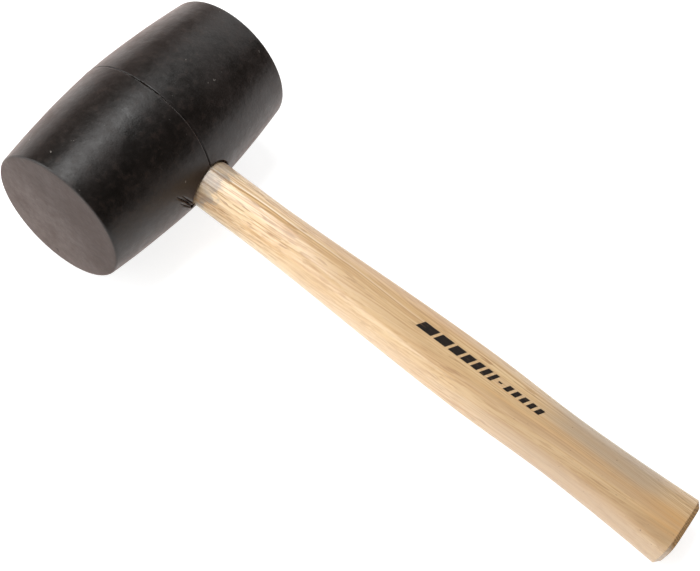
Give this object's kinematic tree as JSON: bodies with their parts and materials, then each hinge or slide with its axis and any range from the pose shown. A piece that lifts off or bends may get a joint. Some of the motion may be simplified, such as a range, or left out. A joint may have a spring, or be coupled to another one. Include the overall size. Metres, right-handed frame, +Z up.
{
  "type": "rubber mallet",
  "caption": "Double-faced rubber mallet: a solid barrel-shaped rubber head on a wedged hardwood handle with a palm swell and a flared butt.",
  "frame": {"origin": "on the ground under the middle of the mallet's box, with the mallet lying on its side", "axes": "+X from the head towards the butt of the handle, Y along the head's own axis through both striking faces, +Z up. The handle slopes down by about 5.3 degrees, because the barrel and the butt both rest on the ground"},
  "size_m": [0.3452, 0.123, 0.08],
  "materials": {
    "black_rubber": "moulded rubber, satin on the barrel and matte grey on the striking faces",
    "lacquered_wood": "light hardwood with long open pores under a thin clear lacquer",
    "wedge_wood": "raw darker hardwood",
    "wedge_steel": "bright stamped steel",
    "print_ink": "dark printed mark on the handle, with no lettering"
  },
  "bodies": {
    "root": {"rubber_head": "black_rubber", "handle": "lacquered_wood", "wood_wedge": "wedge_wood", "steel_wedge": "wedge_steel"}
  },
  "joints": []
}
